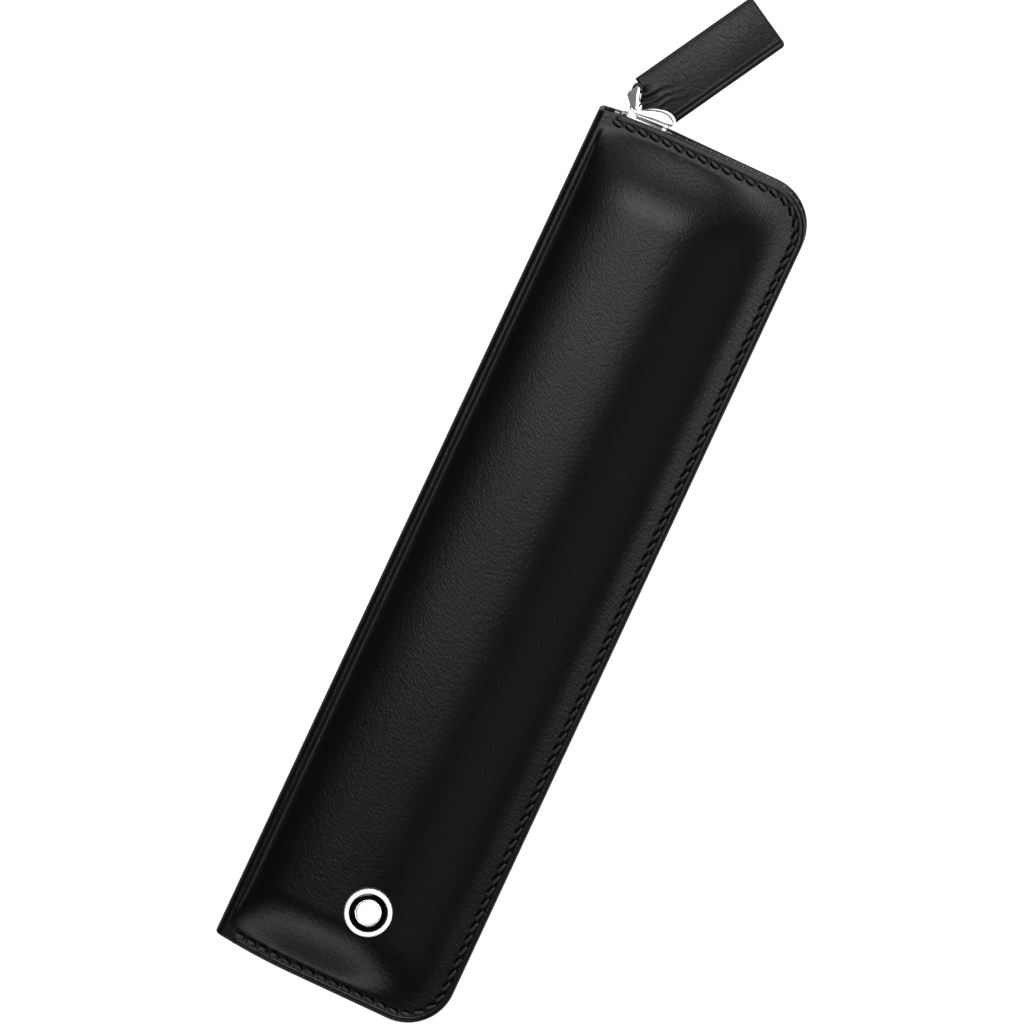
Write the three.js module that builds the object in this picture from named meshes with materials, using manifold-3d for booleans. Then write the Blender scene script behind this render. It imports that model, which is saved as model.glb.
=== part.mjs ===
// Fountain pen case: a slim clamshell of moulded leather for one pen, closed on three sides by a coil zip.
//
// Frame, in millimetres: +Z up through the front panel, +Y towards the end where the slider parks, +X away
// from the spine. The origin is on the flat of the rear crown, at mid length and mid width. The two halves
// mirror each other in the middle plane, so their pieces are drawn once, with h measured from that plane.

import * as THREE from "three";
import { mergeVertices } from "three/addons/utils/BufferGeometryUtils.js";
import Module from "manifold-3d";

const wasm = await Module();
wasm.setup();

// ---- Driving dimensions -------------------------------------------------------------------------------

const LENGTH = 165;
const WIDTH = 43.2;
const THICKNESS = 21;
const CORNER_RADIUS = 8.9; // the two outline corners on the zip side

const RIM_GAP = 6.8; // open height between the two turned rims, where the zip lies
const RIM_THICKNESS = 1.8; // cover leather plus its turned hem
const HEM_WIDTH = 4.6;

const FLANGE_WIDTH = 4; // the flat border that the seam runs along
const SHOULDER_WIDTH = 12; // from the spine to the crown
const CROWN_END = 0; // x where the crown starts to fall towards the zip side
const CROWN_FLATTENING = 1.06; // the dome is pressed flat where it would rise above the crown
const END_EASE = 7.5; // length over which the dome rises from the end flange

const FOLD_HEIGHT = 4.4; // the two fold lines of the spine, above and below the middle plane
const FOLD_GAP = 0.15;
const SPINE_THICKNESS = 1;
const LAYER_GAP = 0.1;

const LEATHER = 1.1;
const BOARD = 0.9;
const LINING = 0.6;
const BOARD_INSET = 5.1; // from the outline to the edge of the board
const LINING_INSET = 3.7;

const TAPE = 0.5;
const TAPE_INSET = 1.7; // from the outline to the tape's standing leg
const TAPE_LEG = 2.7; // width of the leg glued under the hem
const CHANNEL = 1.3; // free channel between the two coils, where the slider's post runs
const COIL_INSET = 0.3;
const COIL_THICKNESS = 1.3;
const COIL_TOP = 2.5; // outer side of a coil, above the middle plane
const ZIP_START = -17.7; // x where both ends of the coils finish, near the spine

const SEAM_INSET = 2.1;
const THREAD_WIDTH = 0.5;
const THREAD_HEIGHT = 0.3;

const SLIDER_X = -12.6; // middle of the parked slider
const SLIDER_LENGTH = 10;
const SLIDER_PLATE = 1;
const BAIL_LEAN = THREE.MathUtils.degToRad(20); // from +Y towards the spine
const BAIL_LENGTH = 3.2; // from the pivot in the slider's eye to the crossbar
const BAIL_HALF_WIDTH = 2.3;
const TAB_ANGLE = THREE.MathUtils.degToRad(29.8); // from +Y towards the zip side
const TAB_LENGTH = 26;
const TAB_WIDTH = 10.3;
const TAB_THICKNESS = 2;

const BADGE_X = 1.7;
const BADGE_Y = -66.2;
const BADGE_RADIUS = 4.35;
const BADGE_TILT = THREE.MathUtils.degToRad(6); // the badge follows the fall of the crown

const LOOP_X = -7;
const LOOP_Y = 22; // middle of the pen loop
const LOOP_LENGTH = 14;
const LOOP_LEATHER = 0.8;

const MIDDLE = THICKNESS / 2;
const RIM = RIM_GAP / 2; // inner face of a rim, above the middle plane
const FLANGE = RIM + RIM_THICKNESS; // outer face of a flange, above the middle plane
const DOME = MIDDLE - FLANGE;
const SPINE_X = -WIDTH / 2;

// ---- Materials ----------------------------------------------------------------------------------------

const material = (color, roughness, metalness = 0) =>
  new THREE.MeshStandardMaterial({ color, roughness, metalness });

const coverLeather = material(0x1b1a1a, 0.42);
const tabLeather = material(0x222122, 0.5);
const liningLeather = material(0x262424, 0.7);
const greyBoard = material(0x6d6a64, 0.9);
const blackTape = material(0x151516, 0.85);
const blackNylon = material(0x1a1a1c, 0.45);
const thread = material(0x0c0c0d, 0.5);
const silver = material(0xc9c8c4, 0.2, 1);
const steel = material(0xb5b4b0, 0.28, 1);
const enamel = material(0x070708, 0.12);

// ---- Building blocks ----------------------------------------------------------------------------------

function named(name, geometry, finish) {
  const mesh = new THREE.Mesh(geometry, finish);
  mesh.name = name;
  return mesh;
}

// A closed surface from rings of points: ring i joins ring i + 1 quad by quad.
function skin(rings, { closed = false } = {}) {
  const size = rings[0].length;
  const positions = rings.flat().flatMap((p) => [p.x, p.y, p.z]);
  const index = [];
  const last = closed ? rings.length : rings.length - 1;
  for (let i = 0; i < last; i++) {
    const next = (i + 1) % rings.length;
    for (let j = 0; j < size; j++) {
      const k = (j + 1) % size;
      const a = i * size + j;
      const b = next * size + j;
      const c = next * size + k;
      const d = i * size + k;
      index.push(a, b, c, a, c, d);
    }
  }
  return { positions, index };
}

// Sweeps a section through stations, each an origin with the two directions that the section is drawn in.
function sweep(section, stations, { closed = false } = {}) {
  const rings = stations.map(({ origin, across, up }) =>
    section.map((p) => origin.clone().addScaledVector(across, p.x).addScaledVector(up, p.y)),
  );
  const { positions, index } = skin(rings, { closed });
  if (!closed) {
    const lastRing = (rings.length - 1) * section.length;
    for (const [a, b, c] of THREE.ShapeUtils.triangulateShape(section, [])) {
      index.push(a, b, c);
      index.push(lastRing + a, lastRing + c, lastRing + b);
    }
  }
  return surface(positions, index);
}

// An indexed geometry whose faces point outwards, whichever way round they were listed.
function surface(positions, index) {
  const geometry = new THREE.BufferGeometry();
  geometry.setAttribute("position", new THREE.Float32BufferAttribute(positions, 3));
  if (signedVolume(positions, index) < 0) index.reverse();
  geometry.setIndex(index);
  return geometry;
}

function signedVolume(positions, index) {
  const point = (i) => new THREE.Vector3().fromArray(positions, 3 * i);
  let volume = 0;
  for (let i = 0; i < index.length; i += 3) {
    const [a, b, c] = [point(index[i]), point(index[i + 1]), point(index[i + 2])];
    volume += a.dot(b.cross(c)) / 6;
  }
  return volume;
}

function solid(geometry) {
  const plain = new THREE.BufferGeometry();
  plain.setAttribute("position", geometry.getAttribute("position"));
  if (geometry.index) plain.setIndex(geometry.index);
  const merged = mergeVertices(plain, 1e-4);
  return new wasm.Manifold(
    new wasm.Mesh({
      numProp: 3,
      vertProperties: merged.attributes.position.array,
      triVerts: new Uint32Array(merged.index.array),
    }),
  );
}

function geometryOf(body) {
  const mesh = body.getMesh();
  const geometry = new THREE.BufferGeometry();
  geometry.setAttribute("position", new THREE.BufferAttribute(mesh.vertProperties, 3));
  geometry.setIndex(new THREE.BufferAttribute(mesh.triVerts, 1));
  return geometry;
}

const join = (...geometries) => geometryOf(geometries.map(solid).reduce((a, b) => a.add(b)));
const cut = (geometry, ...tools) => geometryOf(tools.map(solid).reduce((a, b) => a.subtract(b), solid(geometry)));

function box(x0, x1, y0, y1, z0, z1) {
  return new THREE.BoxGeometry(x1 - x0, y1 - y0, z1 - z0).translate((x0 + x1) / 2, (y0 + y1) / 2, (z0 + z1) / 2);
}

// A round bar along Z.
function barZ(x, y, radius, halfLength, sides = 24) {
  return new THREE.CylinderGeometry(radius, radius, 2 * halfLength, sides).rotateX(Math.PI / 2).translate(x, y, 0);
}

// An outline in the XZ plane raised along Y from y0 to y1.
function plateY(shape, y0, y1) {
  const flat = new THREE.ExtrudeGeometry(shape, { depth: y1 - y0, bevelEnabled: false, curveSegments: 6 });
  return flat.rotateX(Math.PI / 2).translate(0, y1, 0);
}

// ---- The moulded form of one half ---------------------------------------------------------------------

const clamp01 = (t) => Math.min(1, Math.max(0, t));
const easeInOut = (t) => (1 - Math.cos(Math.PI * clamp01(t))) / 2;

// x of the outline's zip side at y, for the outline drawn `inset` inside the true one.
function zipSide(y, inset = 0) {
  const radius = CORNER_RADIUS - inset;
  const past = Math.abs(y) - (LENGTH / 2 - CORNER_RADIUS);
  const straight = WIDTH / 2 - inset;
  return past <= 0 ? straight : straight - radius + Math.sqrt(Math.max(0, radius * radius - past * past));
}

// How far the dome has risen across the case: a round shoulder at the spine, a long soft fall to the flange.
function riseAcross(x, y) {
  const spread = SPINE_X + (WIDTH * (x - SPINE_X)) / (zipSide(y) - SPINE_X);
  const up = 1 - clamp01((spread - SPINE_X) / SHOULDER_WIDTH);
  const shoulder = Math.sqrt(1 - up * up);
  const fall = 1 - easeInOut((spread - CROWN_END) / (WIDTH / 2 - FLANGE_WIDTH - CROWN_END));
  return Math.min(1, CROWN_FLATTENING * shoulder * fall);
}

const riseAlong = (y) => easeInOut((LENGTH / 2 - FLANGE_WIDTH - Math.abs(y)) / END_EASE);

const SHOULDER_STEPS = 7;
const FALL_STEPS = 8;
const END_STEPS = 5;
const ARC_STEPS = 5;

// y of each grid line of a layer whose edge lies `inset` inside the outline. All layers share the lines over
// the dome's end, so that they stay parallel; past it the lines follow the corner's arc.
function gridRows(inset, extra = []) {
  const domeEnd = LENGTH / 2 - FLANGE_WIDTH;
  const straightEnd = LENGTH / 2 - CORNER_RADIUS;
  const shared = Array.from({ length: END_STEPS }, (_, i) => domeEnd - END_EASE * (1 - i / END_STEPS));
  const arc = Array.from({ length: ARC_STEPS }, (_, i) =>
    straightEnd + (CORNER_RADIUS - inset) * Math.sin(((i + 1) * Math.PI) / 2 / ARC_STEPS),
  );
  const clear = shared.at(-1) + 0.3;
  const rows = [...shared, ...extra, ...arc.filter((y) => y > clear)].sort((a, b) => a - b);
  return [...rows.map((y) => -y).reverse(), ...rows];
}

// One skin of a layer: `side` is how far it lies inside the spine's outer face, `depth` how far below the crown.
function gridSkin({ rows, inset, side, depth, hem, fold }) {
  return rows.map((y) => {
    const edge = zipSide(y, inset);
    const end = riseAlong(y);
    const line = [];
    for (let i = 0; i <= SHOULDER_STEPS; i++) {
      const angle = (i * Math.PI) / 2 / SHOULDER_STEPS;
      const x = SPINE_X + SHOULDER_WIDTH * (1 - Math.cos(angle));
      const drop = depth * (Math.sin(angle) * end + 1 - end);
      line.push({ x, shift: side * Math.cos(angle), drop });
    }
    const from = SPINE_X + SHOULDER_WIDTH;
    const to = hem === undefined ? edge : edge - HEM_WIDTH - LAYER_GAP;
    for (let i = 1; i <= FALL_STEPS; i++) {
      line.push({ x: from + ((to - from) * i) / FALL_STEPS, shift: 0, drop: depth });
    }
    if (hem !== undefined) {
      line.push({ x: edge - HEM_WIDTH + LAYER_GAP, shift: 0, drop: depth }, { x: edge, shift: 0, drop: depth });
    }
    const points = line.map(({ x, shift, drop }) => {
      const underHem = hem && (Math.abs(y) > LENGTH / 2 - HEM_WIDTH || x > edge - HEM_WIDTH);
      const h = FLANGE + DOME * riseAcross(x, y) * end - drop;
      return new THREE.Vector3(x + shift, y, underHem ? RIM : h);
    });
    if (fold) points.unshift(new THREE.Vector3(SPINE_X + side, y, FOLD_HEIGHT + FOLD_GAP));
    return points;
  });
}

// A layer between two skins on the same grid, closed along its four edges.
function layer(outer, inner) {
  const rings = outer.map((line, i) => [...line, ...inner[i].slice().reverse()]);
  const { positions, index } = skin(rings);
  const size = rings[0].length;
  const last = (rings.length - 1) * size;
  for (let j = 0; j < size / 2 - 1; j++) {
    const k = size - 1 - j;
    index.push(j, j + 1, k, j + 1, k - 1, k);
    index.push(last + j, last + k, last + j + 1, last + j + 1, last + k, last + k - 1);
  }
  return surface(positions, index);
}

// ---- Pieces of one half -------------------------------------------------------------------------------

function coverGeometry() {
  const rows = gridRows(0, [LENGTH / 2 - HEM_WIDTH - LAYER_GAP, LENGTH / 2 - HEM_WIDTH + LAYER_GAP]);
  const outer = gridSkin({ rows, inset: 0, side: 0, depth: 0, hem: false, fold: true });
  const inner = gridSkin({ rows, inset: 0, side: 1.3, depth: LEATHER, hem: true, fold: true });
  return layer(outer, inner);
}

function boardGeometry() {
  const rows = gridRows(BOARD_INSET);
  const top = LEATHER + 2 * LAYER_GAP;
  return layer(
    gridSkin({ rows, inset: BOARD_INSET, side: 1.5, depth: top }),
    gridSkin({ rows, inset: BOARD_INSET, side: 2.3, depth: top + BOARD }),
  );
}

function liningGeometry() {
  const rows = gridRows(LINING_INSET);
  const top = LEATHER + BOARD + 5 * LAYER_GAP;
  return layer(
    gridSkin({ rows, inset: LINING_INSET, side: 2.5, depth: top }),
    gridSkin({ rows, inset: LINING_INSET, side: 3.1, depth: top + LINING }),
  );
}

// Stations along the three zipped sides, from the slider end round to the far end of the spine.
function zipPath(start) {
  const cornerX = WIDTH / 2 - CORNER_RADIUS;
  const cornerY = LENGTH / 2 - CORNER_RADIUS;
  const up = new THREE.Vector3(0, 0, 1);
  const steps = 6;
  const station = (x, y, angle) => ({
    origin: new THREE.Vector3(x, y, 0),
    across: new THREE.Vector3(-Math.cos(angle), -Math.sin(angle), 0),
    up,
  });
  const stations = [station(start, LENGTH / 2, Math.PI / 2)];
  for (const [side, first] of [[1, Math.PI / 2], [-1, 0]]) {
    for (let i = 0; i <= steps; i++) {
      const angle = first - (i * Math.PI) / 2 / steps;
      const x = cornerX + CORNER_RADIUS * Math.cos(angle);
      stations.push(station(x, side * cornerY + CORNER_RADIUS * Math.sin(angle), angle));
    }
  }
  stations.push(station(start, -LENGTH / 2, -Math.PI / 2));
  return stations;
}

const points = (...pairs) => pairs.map(([x, y]) => new THREE.Vector2(x, y));

// The tape: a leg glued under the hem and a leg that stands across the rim gap and carries the coil.
function tapeGeometry() {
  const top = RIM - LAYER_GAP;
  const tape = points(
    [TAPE_INSET, CHANNEL / 2],
    [TAPE_INSET + TAPE, CHANNEL / 2],
    [TAPE_INSET + TAPE, top - TAPE],
    [TAPE_INSET + TAPE_LEG, top - TAPE],
    [TAPE_INSET + TAPE_LEG, top],
    [TAPE_INSET, top],
  );
  return sweep(tape, zipPath(ZIP_START - 1.2));
}

// The coil's envelope: a rounded bar along the free edge of the tape.
function coilGeometry() {
  const [near, far] = [COIL_INSET, COIL_INSET + COIL_THICKNESS];
  const [low, high] = [CHANNEL / 2, COIL_TOP];
  const round = 0.35;
  const coil = points(
    [near + round, low],
    [far, low],
    [far, high],
    [near + round, high],
    [near, high - round],
    [near, low + round],
  );
  return sweep(coil, zipPath(ZIP_START));
}

// The seam's thread, drawn as one cord that lies on the flange.
function threadGeometry() {
  const base = FLANGE + LAYER_GAP / 2;
  const half = THREAD_WIDTH / 2;
  const cord = points(
    [SEAM_INSET - half, base],
    [SEAM_INSET + half, base],
    [SEAM_INSET + half / 2, base + THREAD_HEIGHT],
    [SEAM_INSET - half / 2, base + THREAD_HEIGHT],
  );
  return sweep(cord, zipPath(ZIP_START + 0.7));
}

// A stop: a small clip bent round the free edge of the tape, at the end of the coil.
function stopGeometry(end, highest) {
  const tapeOut = -TAPE_INSET;
  const tapeIn = -TAPE_INSET - TAPE;
  const clearance = 0.15;
  const low = CHANNEL / 2 - clearance;
  const clip = new THREE.Shape(
    points(
      [tapeOut + 0.8, low - 0.35],
      [tapeOut + 0.8, highest],
      [tapeOut + clearance, highest],
      [tapeOut + clearance, low],
      [tapeIn - clearance, low],
      [tapeIn - clearance, highest],
      [tapeIn - 0.5, highest],
      [tapeIn - 0.5, low - 0.35],
    ),
  );
  const bent = new THREE.ExtrudeGeometry(clip, { depth: 0.9, bevelEnabled: false });
  bent.applyMatrix4(new THREE.Matrix4().makeBasis(
    new THREE.Vector3(0, end, 0),
    new THREE.Vector3(0, 0, 1),
    new THREE.Vector3(end, 0, 0),
  ));
  return bent.translate(end > 0 ? ZIP_START - 1.1 : ZIP_START - 0.2, (end * LENGTH) / 2, 0);
}

// ---- Badge on the front cover -------------------------------------------------------------------------

const BADGE_SEAT = -0.45; // bottom of the bezel, below the badge's own middle plane
const POCKET_DEPTH = 0.3;
const SHANK_HOLE = 0.95;

function lathe(...profile) {
  return new THREE.LatheGeometry(points(...profile), 40).rotateX(Math.PI / 2);
}

const badgeBezel = () =>
  lathe(
    [SHANK_HOLE, BADGE_SEAT],
    [BADGE_RADIUS - 0.15, BADGE_SEAT],
    [BADGE_RADIUS, BADGE_SEAT + 0.3],
    [BADGE_RADIUS, 0.4],
    [BADGE_RADIUS - 0.35, 0.7],
    [BADGE_RADIUS - 0.7, 0.6],
    [BADGE_RADIUS - 0.85, 0.3],
    [BADGE_RADIUS - 0.85, 0],
    [SHANK_HOLE, 0],
    [SHANK_HOLE, BADGE_SEAT],
  );

const badgeEnamel = () =>
  lathe(
    [2.3, 0.1],
    [BADGE_RADIUS - 1, 0.1],
    [BADGE_RADIUS - 1, 0.35],
    [2.3, 0.45],
    [2.3, 0.1],
  );

const badgeStud = () =>
  lathe([0, -2.1], [0.6, -2.1], [0.6, 0.1], [2.2, 0.1], [2.2, 0.45], [1.9, 0.68], [1.1, 0.78], [0, 0.8]);

const badgeWasher = () => lathe([0.9, -1.95], [2.2, -1.95], [2.2, -1.6], [0.9, -1.6], [0.9, -1.95]);

// Puts a badge shape, or a tool that cuts for it, where the badge sits on the front half.
function seated(geometry) {
  return geometry.rotateY(BADGE_TILT).translate(BADGE_X, BADGE_Y, MIDDLE);
}

function badgeTool(radius, from, to) {
  const bore = new THREE.CylinderGeometry(radius, radius, to - from, 40).rotateX(Math.PI / 2);
  return seated(bore.translate(0, 0, (from + to) / 2));
}

// ---- Spine and pen loop -------------------------------------------------------------------------------

const SPINE_LINING = 0.4;
const SPINE_LINING_LENGTH = 140;

function spineGeometry() {
  const half = FOLD_HEIGHT - FOLD_GAP;
  return box(SPINE_X, SPINE_X + SPINE_THICKNESS, -LENGTH / 2 + 0.3, LENGTH / 2 - 0.3, -half, half);
}

function spineLiningGeometry() {
  const face = SPINE_X + SPINE_THICKNESS + LAYER_GAP;
  const half = FOLD_HEIGHT - 0.5;
  return box(face, face + SPINE_LINING, -SPINE_LINING_LENGTH / 2, SPINE_LINING_LENGTH / 2, -half, half);
}

// A band of leather round the pen, its underside on the rear lining.
function loopGeometry() {
  const height = MIDDLE - LEATHER - BOARD - LINING - 7 * LAYER_GAP;
  const radius = height - LOOP_LEATHER;
  const strap = points(
    [0, -LOOP_LENGTH / 2],
    [LOOP_LEATHER, -LOOP_LENGTH / 2],
    [LOOP_LEATHER, LOOP_LENGTH / 2],
    [0, LOOP_LENGTH / 2],
  );
  const squareness = 0.85; // under 1, the ring is a little squarer than a circle
  const steps = 32;
  const stations = [];
  for (let i = 0; i < steps; i++) {
    const angle = (i * 2 * Math.PI) / steps;
    const [c, s] = [Math.cos(angle), Math.sin(angle)];
    const side = (v) => Math.sign(v) * Math.abs(v) ** squareness;
    stations.push({
      origin: new THREE.Vector3(LOOP_X + radius * side(c), LOOP_Y, radius * side(s)),
      across: new THREE.Vector3(c, 0, s),
      up: new THREE.Vector3(0, 1, 0),
    });
  }
  return sweep(strap, stations, { closed: true });
}

// ---- Slider, drawn from the middle of the parked slider at the end edge: x along the zip, y outwards ---

const PLATE_GAP = 0.1; // between the outer plate and the rims
const NOSE_HALF = 3.3; // half width of the outer plate at its nose, towards the spine
const TAIL_HALF = 2.8;
const INNER_HALF = 2.3;
const EYE_X = -3.1;
const EYE_Y = 1.8;
const EYE_RADIUS = 1.25;
const EYE_HOLE = 0.85;

function plateShape(length, nose, tail) {
  const half = length / 2;
  const shape = new THREE.Shape();
  shape.moveTo(-half, -nose + 1.2);
  shape.quadraticCurveTo(-half, -nose, -half + 1.6, -nose);
  shape.lineTo(half - 1.8, -tail);
  shape.quadraticCurveTo(half, -tail, half, 0);
  shape.quadraticCurveTo(half, tail, half - 1.8, tail);
  shape.lineTo(-half + 1.6, nose);
  shape.quadraticCurveTo(-half, nose, -half, nose - 1.2);
  return shape;
}

function sliderBody() {
  const plateTop = PLATE_GAP + SLIDER_PLATE;
  const innerTop = -TAPE_INSET - TAPE - 0.3;
  const lipInner = COIL_TOP + 0.1;
  const half = SLIDER_LENGTH / 2;
  const outer = plateY(plateShape(SLIDER_LENGTH, NOSE_HALF, TAIL_HALF), PLATE_GAP, plateTop);
  const inner = plateY(plateShape(SLIDER_LENGTH, INNER_HALF, INNER_HALF), innerTop - 0.8, innerTop);
  const post = box(-half + 1.2, -half + 2.6, innerTop - 0.1, PLATE_GAP + 0.1, -0.45, 0.45);
  const lip = (z0, z1) => box(-half + 1.2, half - 2.2, -0.9, PLATE_GAP + 0.1, z0, z1);
  const eye = join(barZ(EYE_X, EYE_Y, EYE_RADIUS, 1.2), box(EYE_X - 1.25, EYE_X + 1.25, 1, EYE_Y, -1.2, 1.2));
  const whole = join(outer, inner, post, lip(lipInner, 3.1), lip(-3.1, -lipInner), eye);
  return cut(whole, barZ(EYE_X, EYE_Y, EYE_HOLE, 4));
}

// The cap: a low bridge that rises away from the eye, hollow underneath for the spring.
function sliderCap() {
  const base = PLATE_GAP + SLIDER_PLATE + LAYER_GAP;
  const profile = new THREE.Shape();
  profile.moveTo(-1.4, base);
  profile.quadraticCurveTo(0.4, 2.8, 2.4, 3.1);
  profile.quadraticCurveTo(4.2, 3.1, 4.4, base);
  const bridge = new THREE.ExtrudeGeometry(profile, { depth: 3.2, bevelEnabled: false, curveSegments: 10 });
  bridge.translate(0, 0, -1.6);
  return cut(bridge, box(-0.1, 3.5, base - 1, base + 0.7, -1, 1));
}

function lockSpring() {
  const base = PLATE_GAP + SLIDER_PLATE + 3 * LAYER_GAP;
  const leaf = new THREE.Shape(
    points([0.1, base], [2.2, base], [3.2, base + 0.3], [3.1, base + 0.45], [2.1, base + 0.15], [0.1, base + 0.15]),
  );
  return new THREE.ExtrudeGeometry(leaf, { depth: 1.2, bevelEnabled: false }).translate(0, 0, -0.6);
}

// The bail: a flat-sided wire ring, from its pivot bar in the eye (the origin) to its crossbar along +Y.
function bailGeometry() {
  const round = 0.9;
  const wire = [];
  const sides = 10;
  for (let i = 0; i < sides; i++) {
    const angle = (i * 2 * Math.PI) / sides;
    wire.push(new THREE.Vector2(0.45 * Math.cos(angle), 0.55 * Math.sin(angle)));
  }
  const corners = [
    [BAIL_LENGTH - round, BAIL_HALF_WIDTH - round, 0],
    [round, BAIL_HALF_WIDTH - round, Math.PI / 2],
    [round, round - BAIL_HALF_WIDTH, Math.PI],
    [BAIL_LENGTH - round, round - BAIL_HALF_WIDTH, 1.5 * Math.PI],
  ];
  const stations = [];
  for (const [y, z, first] of corners) {
    for (let i = 0; i <= 4; i++) {
      const angle = first + (i * Math.PI) / 8;
      const across = new THREE.Vector3(0, Math.cos(angle), Math.sin(angle));
      stations.push({
        origin: new THREE.Vector3(0, y, z).addScaledVector(across, round),
        across,
        up: new THREE.Vector3(1, 0, 0),
      });
    }
  }
  return sweep(wire, stations, { closed: true });
}

// The pull tab: a strip folded round the crossbar (the origin) and glued to itself, drawn along +Y.
function tabGeometry() {
  const left = -1.38;
  const right = left + TAB_WIDTH;
  const round = 1.1;
  const outline = new THREE.Shape();
  outline.moveTo(left, 0.5);
  outline.lineTo(1.4, 0.5);
  outline.quadraticCurveTo(3, 0.9, 5, 2.5);
  outline.lineTo(right - 0.5, 2.5);
  outline.lineTo(right, 3);
  outline.lineTo(right, TAB_LENGTH - round);
  outline.quadraticCurveTo(right, TAB_LENGTH, right - round, TAB_LENGTH);
  outline.lineTo(left + round, TAB_LENGTH);
  outline.quadraticCurveTo(left, TAB_LENGTH, left, TAB_LENGTH - round);
  const strip = new THREE.ExtrudeGeometry(outline, {
    depth: TAB_THICKNESS - 0.6,
    curveSegments: 5,
    bevelSize: 0.3,
    bevelThickness: 0.3,
    bevelOffset: -0.3,
    bevelSegments: 2,
  });
  strip.translate(0, 0, 0.3 - TAB_THICKNESS / 2);
  return cut(join(strip, barZ(0, 0, 1.6, 1.5)), barZ(0, 0, EYE_HOLE, 4));
}

// ---- Assembly -----------------------------------------------------------------------------------------

const penCase = new THREE.Group();

const halves = new THREE.Group();
halves.position.z = MIDDLE;
penCase.add(halves);

for (const side of ["rear", "front"]) {
  const half = new THREE.Group();
  half.scale.z = side === "rear" ? -1 : 1;
  let cover = coverGeometry();
  let board = boardGeometry();
  if (side === "front") {
    const pocket = badgeTool(BADGE_RADIUS + 0.3, BADGE_SEAT - POCKET_DEPTH, 3);
    cover = cut(cover, pocket, badgeTool(SHANK_HOLE, -3, 3));
    board = cut(board, badgeTool(2.6, -4, 0));
    half.add(
      named("badge_bezel", seated(badgeBezel()), silver),
      named("badge_enamel", seated(badgeEnamel()), enamel),
      named("badge_stud", seated(badgeStud()), steel),
      named("badge_washer", seated(badgeWasher()), steel),
    );
  }
  half.add(
    named(side + "_cover", cover, coverLeather),
    named(side + "_board", board, greyBoard),
    named(side + "_lining", liningGeometry(), liningLeather),
    named(side + "_zip_tape", tapeGeometry(), blackTape),
    named(side + "_zip_coil", coilGeometry(), blackNylon),
    named(side + "_stitching", threadGeometry(), thread),
    named(side + "_parking_stop", stopGeometry(1, COIL_TOP - 0.4), silver),
  );
  if (side === "rear") half.add(named("zip_end_stop", stopGeometry(-1, COIL_TOP - 0.4), silver));
  halves.add(half);
}

halves.add(
  named("spine_leather", spineGeometry(), coverLeather),
  named("spine_lining", spineLiningGeometry(), liningLeather),
  named("pen_loop", loopGeometry(), liningLeather),
);

const slider = new THREE.Group();
slider.position.set(SLIDER_X, LENGTH / 2 - 0.3, 0);
slider.add(
  named("slider_body", sliderBody(), silver),
  named("slider_cap", sliderCap(), silver),
  named("slider_lock_spring", lockSpring(), steel),
);
halves.add(slider);

const bailPivot = new THREE.Group();
bailPivot.position.set(EYE_X, EYE_Y, 0);
bailPivot.rotation.z = BAIL_LEAN;
bailPivot.add(named("bail", bailGeometry(), silver));
slider.add(bailPivot);

const tabPivot = new THREE.Group();
tabPivot.position.y = BAIL_LENGTH;
tabPivot.rotation.z = -BAIL_LEAN - TAB_ANGLE;
tabPivot.add(named("pull_tab", tabGeometry(), tabLeather));
bailPivot.add(tabPivot);

export default penCase;
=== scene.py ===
import math

import bmesh
import bpy
import numpy as np
from mathutils import Matrix, Vector


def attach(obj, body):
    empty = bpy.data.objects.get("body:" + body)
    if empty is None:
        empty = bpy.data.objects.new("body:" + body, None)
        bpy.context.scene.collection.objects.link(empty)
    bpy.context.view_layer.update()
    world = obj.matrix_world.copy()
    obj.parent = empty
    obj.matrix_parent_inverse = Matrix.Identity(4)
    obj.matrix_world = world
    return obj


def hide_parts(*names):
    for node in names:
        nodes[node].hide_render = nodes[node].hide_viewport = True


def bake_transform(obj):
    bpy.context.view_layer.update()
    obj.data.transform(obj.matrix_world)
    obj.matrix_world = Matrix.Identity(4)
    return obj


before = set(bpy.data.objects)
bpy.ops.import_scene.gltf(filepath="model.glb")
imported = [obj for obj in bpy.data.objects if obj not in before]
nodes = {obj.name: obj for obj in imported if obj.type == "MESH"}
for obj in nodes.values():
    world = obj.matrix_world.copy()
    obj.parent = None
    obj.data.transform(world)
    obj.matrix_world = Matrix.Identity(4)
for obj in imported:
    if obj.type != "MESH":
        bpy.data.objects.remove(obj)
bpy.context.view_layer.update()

# ---- Dimensions in millimetres ----
# The outline is drawn about the case's centre. Heights are measured from the middle plane, where
# the zip closes, and MIDDLE is that plane's own height above the table.

MM = 0.001
HALF_WIDTH = 21.6
HALF_LENGTH = 82.5
CORNER_RADIUS = 8.9
CORNER_X, CORNER_Y = 12.7, 73.6
MIDDLE = 10.5
RIM_HEIGHT = 5.2
BORDER_WIDTH = 2.5
DOME_EDGE = 19.1
# The rounded edge of the spine: its radius, and its centre.
SPINE_RADIUS = 1.4
SPINE_X, SPINE_HEIGHT = -20.2, 3.8
# The badge's centre, and its slope down the dome.
BADGE = (1.7, -66.2)
BADGE_SLOPE = math.radians(8)

SIDES = ((1, "front"), (-1, "rear"))


def new_object(name, data):
    """An object in the scene."""
    made = bpy.data.objects.new(name, data)
    bpy.context.scene.collection.objects.link(made)
    return made


def join_into(whole, extra):
    """Adds one object's mesh to another's."""
    bpy.ops.object.select_all(action="DESELECT")
    extra.select_set(True)
    whole.select_set(True)
    bpy.context.view_layer.objects.active = whole
    bpy.ops.object.join()


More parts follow.
